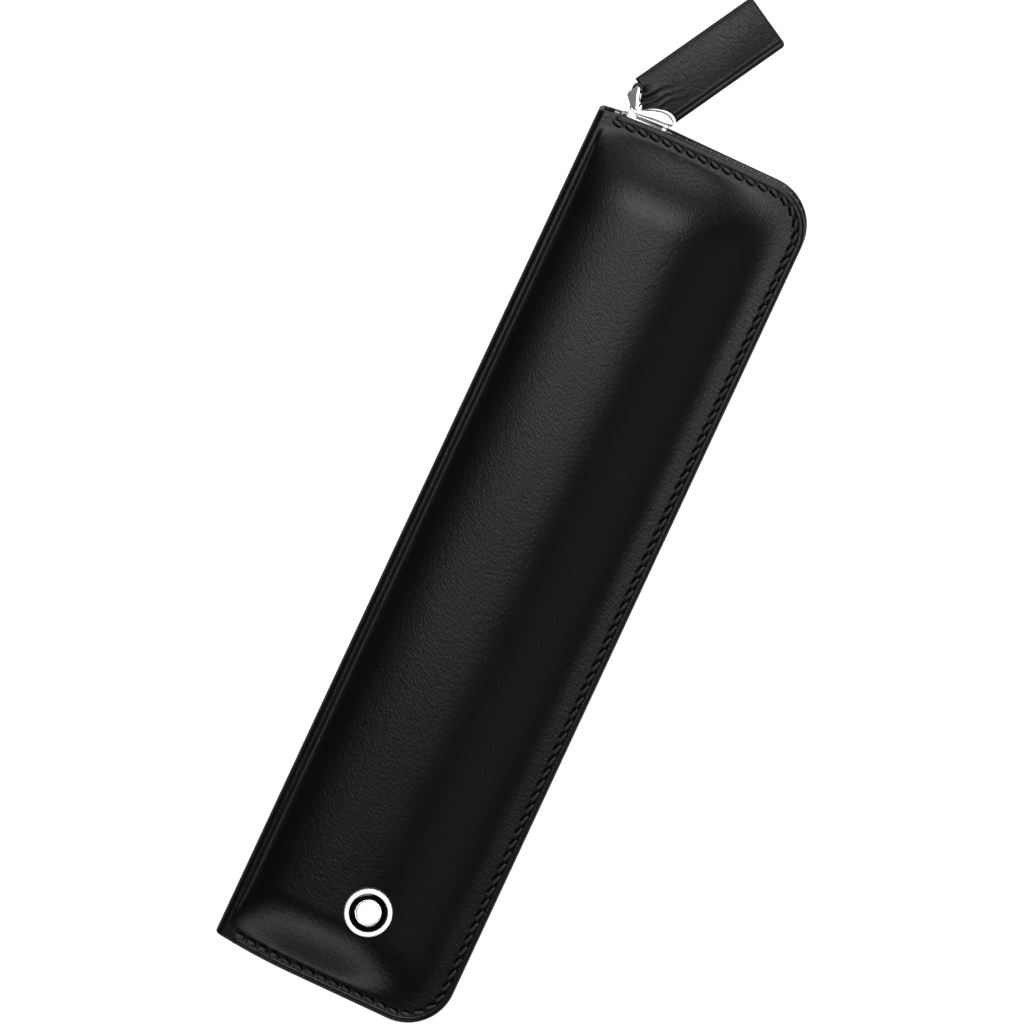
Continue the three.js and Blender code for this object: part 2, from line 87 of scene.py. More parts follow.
def principled(name, colour, roughness):
    """A material, its node tree and the inputs of its shader."""
    material = bpy.data.materials.new(name)
    material.use_nodes = True
    surface = material.node_tree.nodes["Principled BSDF"].inputs
    surface["Base Color"].default_value = (*colour, 1)
    surface["Roughness"].default_value = roughness
    return material, material.node_tree, surface


def texture(tree, kind, vector=None, **inputs):
    """A texture node with inputs set by name, laid out in the object's coordinates or a vector."""
    made = tree.nodes.new(kind)
    for label, value in inputs.items():
        made.inputs[label].default_value = value
    if vector is None:
        vector = tree.nodes.new("ShaderNodeTexCoord").outputs["Object"]
    tree.links.new(vector, made.inputs["Vector"])
    return made


def raised(tree, surface, height, distance):
    """Bumps on a surface, as high as a node's output says."""
    bump = tree.nodes.new("ShaderNodeBump")
    bump.inputs["Distance"].default_value = distance
    tree.links.new(height, bump.inputs["Height"])
    tree.links.new(bump.outputs["Normal"], surface["Normal"])


def uneven_sheen(tree, surface, share, low, high):
    """Roughness that wanders between two values."""
    sheen = tree.nodes.new("ShaderNodeMapRange")
    sheen.inputs["To Min"].default_value = low
    sheen.inputs["To Max"].default_value = high
    tree.links.new(share, sheen.inputs["Value"])
    tree.links.new(sheen.outputs["Result"], surface["Roughness"])


# ---- Camera, table and light ----
# A long lens above the front panel, tipped towards the slider end, with the case turned 25 degrees
# clockwise. The case lies on its rear crown on a white table.

TILT = math.radians(5.5)
TURN = math.radians(25)
CAMERA_AWAY = 8.112
target = Vector((-0.00524, 0.00927, 0.0157))
back = Vector((0, math.sin(TILT), math.cos(TILT)))
along = Vector((0, math.cos(TILT), -math.sin(TILT)))
across = Vector((1, 0, 0))
right = math.cos(TURN) * across + math.sin(TURN) * along
up = -math.sin(TURN) * across + math.cos(TURN) * along
lens = bpy.data.cameras.new("camera")
lens.lens = 1600
lens.sensor_width = 36
lens.clip_start = 0.1
lens.clip_end = 60
camera = new_object("camera", lens)
turned = Matrix((right, up, back)).transposed()
camera.matrix_world = Matrix.Translation(target + back * CAMERA_AWAY) @ turned.to_4x4()
bpy.context.scene.camera = camera


def softbox(name, place, towards, width, height, power):
    """A rectangular studio light that faces a point."""
    lamp = bpy.data.lights.new(name, "AREA")
    lamp.shape = "RECTANGLE"
    lamp.size = width
    lamp.size_y = height
    lamp.energy = power
    rig = new_object(name, lamp)
    facing = (Vector(place) - Vector(towards)).to_track_quat("Z", "Y")
    rig.matrix_world = Matrix.Translation(place) @ facing.to_matrix().to_4x4()
    return rig


softbox("overhead_softbox", (-0.04, 0.207, 0.54), (-0.04, 0.207, 0), 0.27, 0.386, 1.05)
softbox("end_light", (-0.05, 1.15, 0.30), (0, 0.05, 0), 0.80, 0.40, 5.5)
softbox("near_end_light", (0, -0.90, 0.55), (0, -0.05, 0), 0.80, 0.30, 1.6)
softbox("side_fill", (0.90, -0.10, 0.45), (0, 0, 0), 0.35, 1.0, 0.42)

world = bpy.data.worlds.new("studio")
world.use_nodes = True
world.node_tree.nodes["Background"].inputs["Color"].default_value = (0.5, 0.5, 0.5, 1)
world.node_tree.nodes["Background"].inputs["Strength"].default_value = 0.05
bpy.context.scene.world = world
bpy.context.scene.view_settings.view_transform = "Standard"

# The table is a lit white surface. Its own sun is kept off the case, as black cards would do.
white, _, surface = principled("white_table", (0.6, 0.6, 0.6), 0.9)
surface["Specular IOR Level"].default_value = 0.05
surface["Emission Color"].default_value = (1, 1, 1, 1)
surface["Emission Strength"].default_value = 0.92
bpy.ops.mesh.primitive_plane_add(size=16, location=(0, 0, -0.0002))
table = bpy.context.object
table.name = "table"
table.data.materials.append(white)
table_only = bpy.data.collections.new("table_only")
table_only.objects.link(table)
table.light_linking.receiver_collection = table_only
glow = bpy.data.lights.new("table_light", "SUN")
glow.energy = 0.4
table_light = new_object("table_light", glow)
table_light.light_linking.receiver_collection = table_only
table_light.light_linking.blocker_collection = table_only

# ---- Cover leather, front and rear ----
# One moulded cowhide shell per half: it wraps from the middle of the spine over a firm shoulder to
# a flat crown and falls softly to the border. Smooth black, with a fine grain.


def ease(t):
    """0 to 1 with flat ends."""
    return (1 - np.cos(np.pi * np.clip(t, 0, 1))) / 2


def outline_x(y, inset=0.0):
    """x of the zip side at y, on the line drawn inset inside the outline."""
    past = np.abs(y) - CORNER_Y
    radius = CORNER_RADIUS - inset
    arc = HALF_WIDTH - inset - radius + np.sqrt(np.maximum(0, radius**2 - past**2))
    return np.where(past <= 0, HALF_WIDTH - inset, arc)


CROWN = 5.3  # the crown's height above the border


def dome_height(x, y):
    """Height of the leather's face above the middle plane, over one half."""
    # spread is x as it would be where the case has its full width
    spread = -HALF_WIDTH + 2 * HALF_WIDTH * (x + HALF_WIDTH) / (outline_x(y) + HALF_WIDTH)
    rise = np.clip((spread + 20.0) / 15.0, 0, 1)
    shoulder = np.sqrt(1 - (1 - rise) ** 2) * ease((spread + 20.15) / 0.9)
    fall = 1 - ease(np.clip((spread + 4) / 21.6, 0, 1) ** 1.35)
    t = np.clip((79.9 - np.abs(y)) / np.where(y > 0, 13.0, 11.0), 0, 1)
    end = 2.25 * t**1.25 - 1.25 * t**2.25
    arch = 1 - 0.03 * (y / 79) ** 2
    sway = 0.05 * np.sin(y / 17 + 0.6) * np.sin(x / 9 + y / 41)
    sway = sway + 0.03 * np.sin(y / 7.3 + x / 5)
    return RIM_HEIGHT + (CROWN * arch + sway) * shoulder * fall * end


def drawn_in(points):
    """The turned ends of the leather pull in towards the spine corners."""
    pull = (np.clip(-6.6 - points[..., 0], 0, None) / 15) ** 2
    moved = points.copy()
    moved[..., 1] *= 1 - np.where(moved[..., 1] > 0, 1.25, 1.0) * pull / HALF_LENGTH
    return moved


def quads(rows, columns, wrap=False):
    """Faces of a grid of points, rows by columns, joined round if wrap."""
    r = np.arange(rows - 1)[:, None]
    c = np.arange(columns if wrap else columns - 1)[None, :]
    d = (c + 1) % columns
    here, after = r * columns, (r + 1) * columns
    return np.stack([here + c, here + d, after + d, after + c], -1).reshape(-1, 4)


def body(name, points, faces, material, crease=40):
    """A mesh object from points in millimetres, faces outwards, smooth up to the crease angle."""
    points = np.asarray(points, float).reshape(-1, 3) * MM
    faces = [list(map(int, f)) for f in faces]
    # The volume inside two triangles of each face tells which way the faces look.
    volume = 0.0
    for corners in ([f[:3] for f in faces], [[f[0], f[2], f[-1]] for f in faces]):
        a, b, c = np.moveaxis(points[np.array(corners)], 1, 0)
        volume += (a * np.cross(b, c)).sum()
    if volume < 0:
        faces = [f[::-1] for f in faces]
    mesh = bpy.data.meshes.new(name)
    mesh.from_pydata(points.tolist(), [], faces)
    mesh.update()
    mesh.shade_smooth()
    mesh.set_sharp_from_angle(angle=math.radians(crease))
    mesh.materials.append(material)
    return new_object(name, mesh)


def shell(outer, inner):
    """Points and faces of a closed layer between two grids of the same size."""
    rows, columns = outer.shape[:2]
    count = rows * columns
    points = np.concatenate([outer.reshape(-1, 3), inner.reshape(-1, 3)])
    top = quads(rows, columns)
    edge = [(0, c) for c in range(columns - 1)]
    edge += [(r, columns - 1) for r in range(rows - 1)]
    edge += [(rows - 1, c) for c in range(columns - 1, 0, -1)]
    edge += [(r, 0) for r in range(rows - 1, 0, -1)]
    loop = np.array([r * columns + c for r, c in edge])
    after = np.roll(loop, -1)
    sides = np.stack([after, loop, loop + count, after + count], -1)
    return points, np.concatenate([top, top[:, ::-1] + count, sides])


def on_half(points, side):
    """Points with heights above the middle plane, moved to the front (1) or rear (-1) half."""
    placed = np.array(points, float)
    placed[..., 2] = MIDDLE + side * placed[..., 2]
    return placed


def leather(name, base, roughness, ridge_scale, pore_scale, turn, depth):
    """Leather: fine ridges that run one way over the hide, pores, and an uneven sheen."""
    material, tree, surface = principled(name, base, roughness)
    place = tree.nodes.new("ShaderNodeTexCoord")
    turned = tree.nodes.new("ShaderNodeMapping")
    turned.inputs["Rotation"].default_value = (0, 0, math.radians(turn))
    stretched = tree.nodes.new("ShaderNodeMapping")
    stretched.inputs["Scale"].default_value = ridge_scale
    tree.links.new(place.outputs["Object"], turned.inputs["Vector"])
    tree.links.new(turned.outputs["Vector"], stretched.inputs["Vector"])
    ridges = texture(
        tree, "ShaderNodeTexNoise", stretched.outputs["Vector"],
        Scale=1.0, Detail=2.5, Roughness=0.55, Distortion=0.6,
    )
    pores = texture(tree, "ShaderNodeTexVoronoi", Scale=pore_scale)
    height = tree.nodes.new("ShaderNodeMath")
    height.operation = "MULTIPLY_ADD"
    tree.links.new(pores.outputs["Distance"], height.inputs[0])
    height.inputs[1].default_value = -0.25
    tree.links.new(ridges.outputs["Fac"], height.inputs[2])
    raised(tree, surface, height.outputs["Value"], depth)
    patches = texture(tree, "ShaderNodeTexNoise", Scale=90, Detail=3)
    uneven_sheen(tree, surface, patches.outputs["Fac"], roughness - 0.05, roughness + 0.05)
    return material


cover_leather = leather(
    "cover_leather", (0.0030, 0.0030, 0.0029), 0.34, (1300, 3100, 2200), 1500, 35, 0.00005
)

# The grid: rows and columns close together at the corners, the dome's ends and the badge.
arc = CORNER_Y + 6.4 * np.sin(np.linspace(0, np.pi / 2, 28))
end_rows = np.unique(np.round(np.concatenate([np.arange(69.2, 73.5, 0.4), arc]), 4))
badge_rows, middle_rows = np.arange(-68.9, -60, 0.3), np.arange(-59, 68.7, 1.3)
rows_y = np.concatenate([-end_rows[::-1], badge_rows, middle_rows, end_rows])
shoulder = np.concatenate([np.linspace(0, 1.6, 14), 1.6 + 9 * np.linspace(0, 1, 22)[1:] ** 1.2])
before_badge, badge_columns = np.arange(-9.0, -4.5, 0.7), np.arange(-4.4, 8.2, 0.35)
after_badge = np.linspace(8.5, DOME_EDGE, 18)
columns_x = np.concatenate([SPINE_X + shoulder, before_badge, badge_columns, after_badge])
share = (columns_x - SPINE_X) / (DOME_EDGE - SPINE_X)
turn_angles = np.linspace(np.pi, np.pi / 2, 10)


def face_grid(ys, shares):
    """The leather's outer face: up the spine, round its edge, over the dome to the border."""
    grid = []
    for y in ys:
        wall = [(-HALF_WIDTH, y, h) for h in np.linspace(0, SPINE_HEIGHT, 9)[:-1]]
        bend_x = SPINE_X + SPINE_RADIUS * np.cos(turn_angles[:-1])
        bend_h = SPINE_HEIGHT + SPINE_RADIUS * np.sin(turn_angles[:-1])
        bend = list(zip(bend_x, np.full_like(bend_x, y), bend_h))
        x = SPINE_X + shares * (float(outline_x(y, BORDER_WIDTH)) - SPINE_X)
        level = np.full_like(x, y)
        grid.append(wall + bend + list(zip(x, level, dome_height(x, level))))
    return np.array(grid)


LEATHER = 0.9  # the cover leather's thickness


def inside(grid, depth):
    """The grid moved inwards along its normals."""
    normal = np.cross(np.gradient(grid, axis=1), np.gradient(grid, axis=0))
    normal /= np.linalg.norm(normal, axis=-1, keepdims=True) + 1e-12
    return grid + normal * depth * np.sign(-normal[len(grid) // 2, -3, 2])


for side, words in SIDES:
    face = face_grid(rows_y, share)
    if side == 1:
        # The badge stands in a shallow flat that is pressed into the front crown.
        away = np.hypot(face[..., 0] - BADGE[0], face[..., 1] - BADGE[1])
        flat = 9.8 - math.tan(BADGE_SLOPE) * (face[..., 0] - BADGE[0])
        blend = ease((4.5 - away) / 0.6)
        face[..., 2] += (flat - face[..., 2]) * blend
    under = inside(face, LEATHER)
    points, faces = shell(drawn_in(on_half(face, side)), drawn_in(on_half(under, side)))
    panel = body(words + "_cover_leather", points, faces, cover_leather, 50)
    if side == 1:
        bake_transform(panel)
        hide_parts("front_cover", "spine_leather")
    else:
        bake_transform(panel)
        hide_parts("rear_cover")

# ---- Turned border with its seam, front and rear ----
# The leather's edge, folded over the rim and sewn down. The awl has cut a slanted slit beside each
# stitch, the thread has pulled a groove along the seam, and the fold stands up as a rounded lip.

HEM_ROUND = 0.6  # half the width of the fold at the outline


def rim_path(step):
    """Points along the outline from the spine's middle, and their inward and outward directions."""
    places, inward, outward = [], [], []
    for end in (1, -1):
        run = []
        for h in np.arange(0, SPINE_HEIGHT, 0.45):
            run.append(((-HALF_WIDTH, HALF_LENGTH * end, h), (0, -end, 0), (-1, 0, 0)))
        for a in np.linspace(np.pi, np.pi / 2, 9):
            x, h = SPINE_X + SPINE_RADIUS * np.cos(a), SPINE_HEIGHT + SPINE_RADIUS * np.sin(a)
            run.append(((x, HALF_LENGTH * end, h), (0, -end, 0), (np.cos(a), 0, np.sin(a))))
        for x in np.arange(SPINE_X + step, CORNER_X - step / 2, step):
            run.append(((x, HALF_LENGTH * end, RIM_HEIGHT), (0, -end, 0), (0, 0, 1)))
        for a in np.linspace(np.pi / 2, 0, int(CORNER_RADIUS * np.pi / 2 / step)):
            c, s = np.cos(a), np.sin(a)
            spot = (CORNER_X + CORNER_RADIUS * c, end * (CORNER_Y + CORNER_RADIUS * s), RIM_HEIGHT)
            run.append((spot, (-c, -end * s, 0), (0, 0, 1)))
        if end == 1:
            for y in np.arange(CORNER_Y - step, -CORNER_Y + step / 2, -step):
                run.append(((HALF_WIDTH, y, RIM_HEIGHT), (-1, 0, 0), (0, 0, 1)))
        for place, inwards, outwards in run if end == 1 else run[::-1]:
            places.append(place)
            inward.append(inwards)
            outward.append(outwards)
    return np.array(places), np.array(inward), np.array(outward)


PATH = rim_path(0.17)
SEAM_INSET = 1.6
STITCHED_FROM = -17.4
STITCH_STEP = 2.36
SEAM_FADE = 1.2  # the groove and the slits fade out over this length past the seam's ends
seam_line = PATH[0] + SEAM_INSET * PATH[1]
stitched = (seam_line[:, 0] > STITCHED_FROM) & (PATH[2][:, 2] > 0.99)
seam_steps = np.linalg.norm(np.diff(seam_line, axis=0), axis=1)
travel = np.concatenate([[0], np.cumsum(seam_steps)])
travel -= travel[stitched][0]
SEAM_LENGTH = travel[stitched][-1]
STITCHES = int(round(SEAM_LENGTH / STITCH_STEP)) + 1
PITCH = SEAM_LENGTH / (STITCHES - 1)
LEAN = math.radians(20)


def seam_relief(distance, inset):
    """The border's height over its flat, at a distance along the seam and an inset from the rim."""
    sewn = ease((distance + SEAM_FADE) / SEAM_FADE)
    sewn = sewn * ease((SEAM_LENGTH + SEAM_FADE - distance) / SEAM_FADE)
    beside = inset - SEAM_INSET
    groove = -0.17 * np.exp(-((beside / 0.42) ** 2)) * sewn
    lip = 0.20 * np.clip(2.0 - inset, 0, 1.0) * sewn
    nearest = np.clip(np.round(distance / PITCH), 0, STITCHES - 1) * PITCH
    gap = distance - nearest
    run = gap * math.cos(LEAN) + beside * math.sin(LEAN)
    off = -gap * math.sin(LEAN) + beside * math.cos(LEAN)
    slit = -0.55 * np.exp(-(((run + 0.10) / 0.66) ** 4) - ((off - 0.38) / 0.12) ** 2)
    pucker = -0.03 * np.cos(2 * np.pi * distance / PITCH)
    pucker = pucker * np.exp(-(((inset - 2.05) / 0.22) ** 2))
    return groove + lip + (slit + pucker) * sewn


def border_shell():
    """The border's closed section, swept along the outline."""
    places, inward, outward = PATH
    count = len(places)
    # The hem is thinner and narrower beside the spine.
    full = ease((places[:, 0] + 20.6) / 3.0)
    thick = 1.0 + 0.8 * full
    hem_end = 4.0 + 0.6 * full
    rings = []
    for n in np.arange(BORDER_WIDTH, 0.64, -0.085):
        rings.append((np.full(count, n), seam_relief(travel, n)))
    radius = thick / 2
    lip = seam_relief(travel, HEM_ROUND)
    for a in np.linspace(np.pi / 2, -np.pi / 2, 13):
        rise = lip * np.clip(math.sin(a), 0, 1)
        wide = HEM_ROUND - HEM_ROUND * math.cos(a)
        rings.append((np.full(count, wide), -radius + radius * math.sin(a) + rise))
    rings.append((hem_end - 1.5, -thick))
    rings.append((hem_end - 0.15, -thick))
    rings.append((hem_end, -thick + 0.15))
    rings.append((hem_end, np.minimum(-thick + 0.5, -LEATHER)))
    rings.append((np.full(count, BORDER_WIDTH), np.full(count, -LEATHER)))
    return np.stack([places + n[:, None] * inward + u[:, None] * outward for n, u in rings], 1)


def closed_sweep(grid):
    """Points and faces of a section swept along a path, with its two ends closed."""
    rows, columns = grid.shape[:2]
    faces = [list(f) for f in quads(rows, columns, wrap=True)]
    faces.append(list(range(columns))[::-1])
    faces.append([(rows - 1) * columns + c for c in range(columns)])
    return grid.reshape(-1, 3), faces


for side, words in SIDES:
    points, faces = closed_sweep(drawn_in(on_half(border_shell(), side)))
    border = body(words + "_turned_border", points, faces, cover_leather, 50)
    if side == 1:
        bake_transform(border)
    else:
        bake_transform(border)

# ---- Stitching, front and rear ----
# Waxed black polyester thread, two strands twisted together, sewn right through the rim. Each
# stitch leans inwards along the seam and dives into the leather at both ends. A back-tack locks
# the end of the seam.


def copies_along(name, line, unit, count, lean, seed, material, jitter=0.05):
    """Copies of a small mesh at equal steps along a line, turned to follow it, as one mesh."""
    path = bpy.data.meshes.new(name + "_path")
    line = np.asarray(line, float) * MM
    path.from_pydata(line.tolist(), [(i, i + 1) for i in range(len(line) - 1)], [])
    holder = new_object(name, path)
    group = bpy.data.node_groups.new(name + "_copies", "GeometryNodeTree")
    settings = {
        "Unit": ("NodeSocketObject", unit),
        "Count": ("NodeSocketInt", count),
        "Lean": ("NodeSocketFloat", lean),
        "Jitter": ("NodeSocketFloat", jitter),
        "Seed": ("NodeSocketInt", seed),
    }
    add_socket = group.interface.new_socket
    add_socket(name="Geometry", in_out="INPUT", socket_type="NodeSocketGeometry")
    sockets = {}
    for label, (kind, _) in settings.items():
        sockets[label] = add_socket(name=label, in_out="INPUT", socket_type=kind).identifier
    add_socket(name="Geometry", in_out="OUTPUT", socket_type="NodeSocketGeometry")
    new, link = group.nodes.new, group.links.new
    given = new("NodeGroupInput")
    curve = new("GeometryNodeMeshToCurve")
    link(given.outputs["Geometry"], curve.inputs["Mesh"])
    spaced = new("GeometryNodeResampleCurve")
    link(curve.outputs["Curve"], spaced.inputs["Curve"])
    link(given.outputs["Count"], spaced.inputs["Count"])
    source = new("GeometryNodeObjectInfo")
    link(given.outputs["Unit"], source.inputs["Object"])
    tangent = new("GeometryNodeInputTangent")
    aligned = new("FunctionNodeAlignRotationToVector")
    aligned.axis = "X"
    aligned.pivot_axis = "Z"
    link(tangent.outputs["Tangent"], aligned.inputs["Vector"])
    wander = new("FunctionNodeRandomValue")
    wander.data_type = "FLOAT"
    link(given.outputs["Jitter"], wander.inputs[3])
    link(given.outputs["Seed"], wander.inputs["Seed"])
    leaning = new("ShaderNodeMath")
    leaning.operation = "ADD"
    link(given.outputs["Lean"], leaning.inputs[0])
    link(wander.outputs[1], leaning.inputs[1])
    angles = new("ShaderNodeCombineXYZ")
    link(leaning.outputs["Value"], angles.inputs["Z"])
    as_turn = new("FunctionNodeEulerToRotation")
    link(angles.outputs["Vector"], as_turn.inputs["Euler"])
    turned = new("FunctionNodeRotateRotation")
    turned.rotation_space = "LOCAL"
    link(aligned.outputs["Rotation"], turned.inputs["Rotation"])
    link(as_turn.outputs["Rotation"], turned.inputs["Rotate By"])
    placed = new("GeometryNodeInstanceOnPoints")
    link(spaced.outputs["Curve"], placed.inputs["Points"])
    link(source.outputs["Geometry"], placed.inputs["Instance"])
    link(turned.outputs["Rotation"], placed.inputs["Rotation"])
    solid = new("GeometryNodeRealizeInstances")
    link(placed.outputs["Instances"], solid.inputs["Geometry"])
    finish = new("GeometryNodeSetMaterial")
    finish.inputs["Material"].default_value = material
    link(solid.outputs["Geometry"], finish.inputs["Geometry"])
    result = new("NodeGroupOutput")
    link(finish.outputs["Geometry"], result.inputs["Geometry"])
    modifier = holder.modifiers.new("copies", "NODES")
    modifier.node_group = group
    for label, (_, value) in settings.items():
        modifier[sockets[label]] = value
    evaluated = holder.evaluated_get(bpy.context.evaluated_depsgraph_get())
    mesh = bpy.data.meshes.new_from_object(evaluated)
    bpy.data.objects.remove(holder)
    mesh.name = name
    mesh.shade_smooth()
    return new_object(name, mesh)


def thread_unit(length, radius, twist):
    """One visible stitch: two twisted strands that sink at both ends."""
    grid = []
    for t in np.linspace(-1, 1, 11):
        width = radius * (1 - 0.55 * abs(t) ** 6)
        ring = []
        for k in range(8):
            a = 2 * np.pi * k / 8
            r = width * (1 + 0.16 * np.cos(2 * (a - twist * t)))
            sunk = 0.30 * abs(t) ** 4
            ring.append((t * length / 2, r * np.cos(a), r * np.sin(a) * 0.85 - sunk))
        grid.append(ring)
    points, faces = closed_sweep(np.array(grid))
    return body("stitch_unit", points, faces, thread_finish, 180)


thread_finish, tree, surface = principled("thread", (0.045, 0.045, 0.046), 0.42)
fibre = texture(tree, "ShaderNodeTexNoise", Scale=6000)
raised(tree, surface, fibre.outputs["Fac"], 0.00003)

THREAD_LIFT = 0.12  # how far a stitch's middle stands above the leather
unit = thread_unit(2.2, 0.31, 2.2)
knot = thread_unit(1.9, 0.43, 1.4)
for side, words in SIDES:
    line = seam_line[stitched] + np.array([0, 0, THREAD_LIFT])
    line = drawn_in(on_half(line, 1))
    seam = copies_along(words + "_stitching", line, unit, STITCHES, -LEAN, 7, thread_finish, 0.1)
    tail = line[-41:] + np.array([0, 0, 0.14])
    lock = copies_along(words + "_back_tack", tail, knot, 4, -0.15, 3, thread_finish, 0.3)
    join_into(seam, lock)
    if side == -1:
        mirror = Matrix.Scale(-1, 4, (0, 0, 1))
        seam.data.transform(Matrix.Translation((0, 0, 2 * MIDDLE * MM)) @ mirror)
        seam.data.flip_normals()
    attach(seam, words + "_half")
    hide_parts(words + "_stitching")
bpy.data.objects.remove(unit)
bpy.data.objects.remove(knot)

# ---- Boards and linings, front and rear ----
# Grey board moulded to the dome stiffens each half under its leather. Thin black lining leather is
# glued over it and runs on across the inside of the spine, where the two halves meet.


def inner_grid(ys, xs, inset, depth):
    """The dome's face, moved down by a depth, within a line inset inside the outline."""
    lines = []
    for y in ys:
        reach = (float(outline_x(y, inset)) - xs[0]) / (xs[-1] - xs[0])
        x = xs[0] + (xs - xs[0]) * reach
        level = np.full_like(x, y)
        lines.append(np.stack([x, level, dome_height(x, level) - depth], -1))
    return np.array(lines)


def rows_between_ends(end, reach, steps, middle):
    """y of rows from one end to the other, closer together over a reach at each end."""
    ramp = reach * (1 - np.cos(np.linspace(0, np.pi / 2, steps)))
    return np.concatenate([-end + ramp, middle, end - ramp[::-1]])


board_finish, tree, surface = principled("grey_board", (0.8, 0.8, 0.8), 0.9)
pulp = texture(tree, "ShaderNodeTexNoise", Scale=700, Detail=5)
pulp_colour = tree.nodes.new("ShaderNodeValToRGB")
pulp_colour.color_ramp.elements[0].color = (0.10, 0.095, 0.085, 1)
pulp_colour.color_ramp.elements[1].color = (0.19, 0.18, 0.165, 1)
tree.links.new(pulp.outputs["Fac"], pulp_colour.inputs["Fac"])
tree.links.new(pulp_colour.outputs["Color"], surface["Base Color"])

lining_leather = leather(
    "lining_leather", (0.012, 0.0115, 0.011), 0.56, (900, 1500, 1200), 1100, 20, 0.00003
)

# Depths of each layer's two faces under the dome's face, and its edge's inset from the outline.
BOARD_INSET, BOARD_DEPTHS = 5.1, (1.25, 2.15)
LINING_INSET = 3.7
board_ys = rows_between_ends(77.3, 9.3, 16, np.linspace(-66, 66, 45))
board_xs = np.concatenate([-18.2 + 6 * np.linspace(0, 1, 12) ** 1.4, np.linspace(-11.4, 16.5, 34)])
lining_ys = rows_between_ends(78.8, 10, 20, np.linspace(-68, 68, 60))
lining_xs = -19.3 + 7 * np.linspace(0, 1, 14) ** 1.4
lining_xs = np.concatenate([lining_xs, np.linspace(-11.6, 17.9, 40)])

for side, words in SIDES:
    top, low = (inner_grid(board_ys, board_xs, BOARD_INSET, depth) for depth in BOARD_DEPTHS)
    if side == 1:
        # The front board dips under the badge's flat.
        for grid in (top, low):
            away = np.hypot(grid[..., 0] - BADGE[0], grid[..., 1] - BADGE[1])
            grid[..., 2] -= 0.3 * ease((6.5 - away) / 2.5)
    points, faces = shell(on_half(top, side), on_half(low, side))
    board = body(words + "_board_form", points, faces, board_finish)
    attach(board, words + "_half")
    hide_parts(words + "_board")

    skins = []
    for depth, wall_x, wall_top in ((2.5, -20.5, 4.0), (3.05, -20.1, 3.6)):
        grid = inner_grid(lining_ys, lining_xs, LINING_INSET, depth)
        grid[..., 2] = np.maximum(grid[..., 2], RIM_HEIGHT - depth)
        wall = []
        for y, start_height in zip(lining_ys, grid[:, 0, 2]):
            reach = max(min(wall_top, float(start_height)) - 0.1, 0.4)
            wall.append([(wall_x, y, h) for h in np.linspace(0, 1, 10) * reach])
        skins.append(np.concatenate([np.array(wall), grid], axis=1))
    points, faces = shell(on_half(skins[0], side), on_half(skins[1], side))
    lining = body(words + "_lining_leather", points, faces, lining_leather, 60)
    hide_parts(words + "_lining")
    if side == 1:
        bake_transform(lining)
        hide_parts("spine_lining")
    else:
        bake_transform(lining)

# ---- Pen loop ----
# A band of the lining leather, bent into a ring and glued to the rear lining. The pen slides
# through it.

LOOP_STEPS = 96
LOOP_CENTRE = (-7, 22)


def blunt(value, power):
    """A sine or cosine drawn towards its ends, which squares a circle's corners."""
    return np.sign(value) * abs(value) ** power


profile = []
for t in np.linspace(0, 1, 25)[:-1]:
    a = 2 * np.pi * t
    profile.append((7.0 * blunt(np.cos(a), 0.12), 0.40 * blunt(np.sin(a), 0.45)))
ring_lines = []
for t in np.arange(LOOP_STEPS):
    a = 2 * np.pi * t / LOOP_STEPS
    cx = 6.8 * blunt(np.cos(a), 0.9)
    cz = 6.8 * blunt(np.sin(a), 0.9)
    swell = 1 + 0.012 * math.sin(3 * a)
    ring = []
    for wide, deep in profile:
        x = LOOP_CENTRE[0] + (cx + deep * math.cos(a)) * swell
        ring.append((x, LOOP_CENTRE[1] + wide, MIDDLE + cz + deep * math.sin(a)))
    ring_lines.append(ring)
ring_faces = quads(LOOP_STEPS + 1, len(profile), wrap=True) % (LOOP_STEPS * len(profile))
loop = body("pen_loop_leather", ring_lines, ring_faces, lining_leather, 60)
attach(loop, "rear_half")
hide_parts("pen_loop")

# ---- Zip: tapes and coils ----
# Woven black polyester tape, glued under each hem and standing in the gap between the rims. A
# nylon monofilament coil is sewn along its free edge, and the teeth of the two coils mesh in the
# middle plane.

tape_finish, tree, surface = principled("zip_tape", (0.022, 0.022, 0.023), 0.85)
weave = texture(tree, "ShaderNodeTexWave", Scale=700, Distortion=1.5, Detail=2)
weave.wave_type = "BANDS"
weave.bands_direction = "DIAGONAL"
raised(tree, surface, weave.outputs["Fac"], 0.00006)

nylon, tree, surface = principled("zip_coil", (0.055, 0.055, 0.057), 0.32)
draw_marks = texture(tree, "ShaderNodeTexNoise", Scale=2500)
uneven_sheen(tree, surface, draw_marks.outputs["Fac"], 0.26, 0.42)

# One tooth: the coil's thread bent into a hook, seen along the zip.
tooth_line = np.array([
    (-0.30, -0.58, 2.35), (-0.22, -0.60, 1.2), (-0.12, -0.52, 0.25),
    (-0.04, -0.30, -0.25), (0.02, 0.0, -0.42), (0.08, 0.30, -0.25),
    (0.16, 0.50, 0.25), (0.24, 0.56, 1.2), (0.32, 0.54, 2.35),
])
rings = []
for i, spot in enumerate(tooth_line):
    ahead = tooth_line[min(i + 1, len(tooth_line) - 1)] - tooth_line[max(i - 1, 0)]
    ahead /= np.linalg.norm(ahead)
    one = np.cross(ahead, (1.0, 0, 0))
    one /= np.linalg.norm(one)
    two = np.cross(ahead, one)
    wide = 0.30 if 2 <= i <= 6 else 0.25
    ring = []
    for a in np.arange(6) * np.pi / 3:
        ring.append(spot + 0.24 * math.cos(a) * one + wide * math.sin(a) * two)
    rings.append(ring)
points, faces = closed_sweep(np.array(rings))
tooth = body("tooth_unit", points, faces, nylon, 180)

